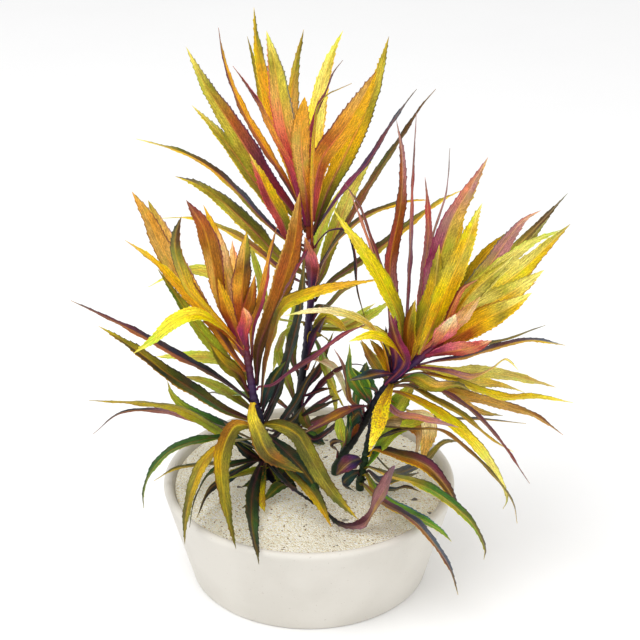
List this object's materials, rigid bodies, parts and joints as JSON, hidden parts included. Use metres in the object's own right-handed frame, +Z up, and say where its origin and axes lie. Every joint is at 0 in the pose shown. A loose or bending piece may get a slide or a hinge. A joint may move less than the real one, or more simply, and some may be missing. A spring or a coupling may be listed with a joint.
{
  "type": "potted broad leaf pogostemon stellatus",
  "caption": "Clump of upright stems with long, narrow, toothed leaves in whorls, gold to pink and green, planted in a low round pot of pale sand.",
  "frame": {"origin": "middle of the pot's underside", "axes": "+Z up out of the pot, -Y towards the front of the plant, +X to its right as seen from the front"},
  "size_m": [0.2639, 0.1801, 0.3105],
  "materials": {
    "pot": "plain off-white matt ceramic",
    "sand": "fine pale sand",
    "stem": "smooth, dark purple to dark green",
    "leaf_olive": "soft satin leaf, olive to yellow-green",
    "leaf_gold": "soft satin leaf, gold to orange-brown",
    "leaf_pink": "soft satin leaf, pink to purple",
    "leaf_green": "soft satin leaf, dark green"
  },
  "bodies": {
    "root": {"pot": "pot", "sand": "sand", "middle_stem": "stem", "left_stem": "stem", "right_stem": "stem", "front_stem": "stem", "middle_leaf_01": "leaf_olive", "middle_leaf_02": "leaf_olive", "middle_leaf_03": "leaf_gold", "middle_leaf_04": "leaf_gold", "middle_leaf_05": "leaf_gold", "middle_leaf_06": "leaf_gold", "middle_leaf_07": "leaf_pink", "middle_leaf_08": "leaf_gold", "middle_leaf_09": "leaf_gold", "middle_leaf_10": "leaf_olive", "middle_leaf_11": "leaf_pink", "middle_leaf_12": "leaf_olive", "middle_leaf_13": "leaf_olive", "middle_leaf_14": "leaf_olive", "middle_leaf_15": "leaf_olive", "middle_leaf_16": "leaf_olive", "middle_leaf_17": "leaf_pink", "middle_leaf_18": "leaf_gold", "left_leaf_01": "leaf_gold", "left_leaf_02": "leaf_gold", "left_leaf_03": "leaf_gold", "left_leaf_04": "leaf_gold", "left_leaf_05": "leaf_olive", "left_leaf_06": "leaf_gold", "left_leaf_07": "leaf_olive", "left_leaf_08": "leaf_gold", "left_leaf_09": "leaf_gold", "left_leaf_10": "leaf_gold", "left_leaf_11": "leaf_green", "left_leaf_12": "leaf_pink", "left_leaf_13": "leaf_green", "left_leaf_14": "leaf_gold", "left_leaf_15": "leaf_gold", "left_leaf_16": "leaf_olive", "left_leaf_17": "leaf_green", "left_leaf_18": "leaf_olive", "right_leaf_01": "leaf_pink", "right_leaf_02": "leaf_pink", "right_leaf_03": "leaf_olive", "right_leaf_04": "leaf_gold", "right_leaf_05": "leaf_gold", "right_leaf_06": "leaf_gold", "right_leaf_07": "leaf_olive", "right_leaf_08": "leaf_pink", "right_leaf_09": "leaf_gold", "right_leaf_10": "leaf_pink", "right_leaf_11": "leaf_pink", "right_leaf_12": "leaf_gold", "right_leaf_13": "leaf_gold", "right_leaf_14": "leaf_pink", "right_leaf_15": "leaf_gold", "right_leaf_16": "leaf_gold", "front_leaf_01": "leaf_green", "front_leaf_02": "leaf_pink"}
  },
  "joints": []
}
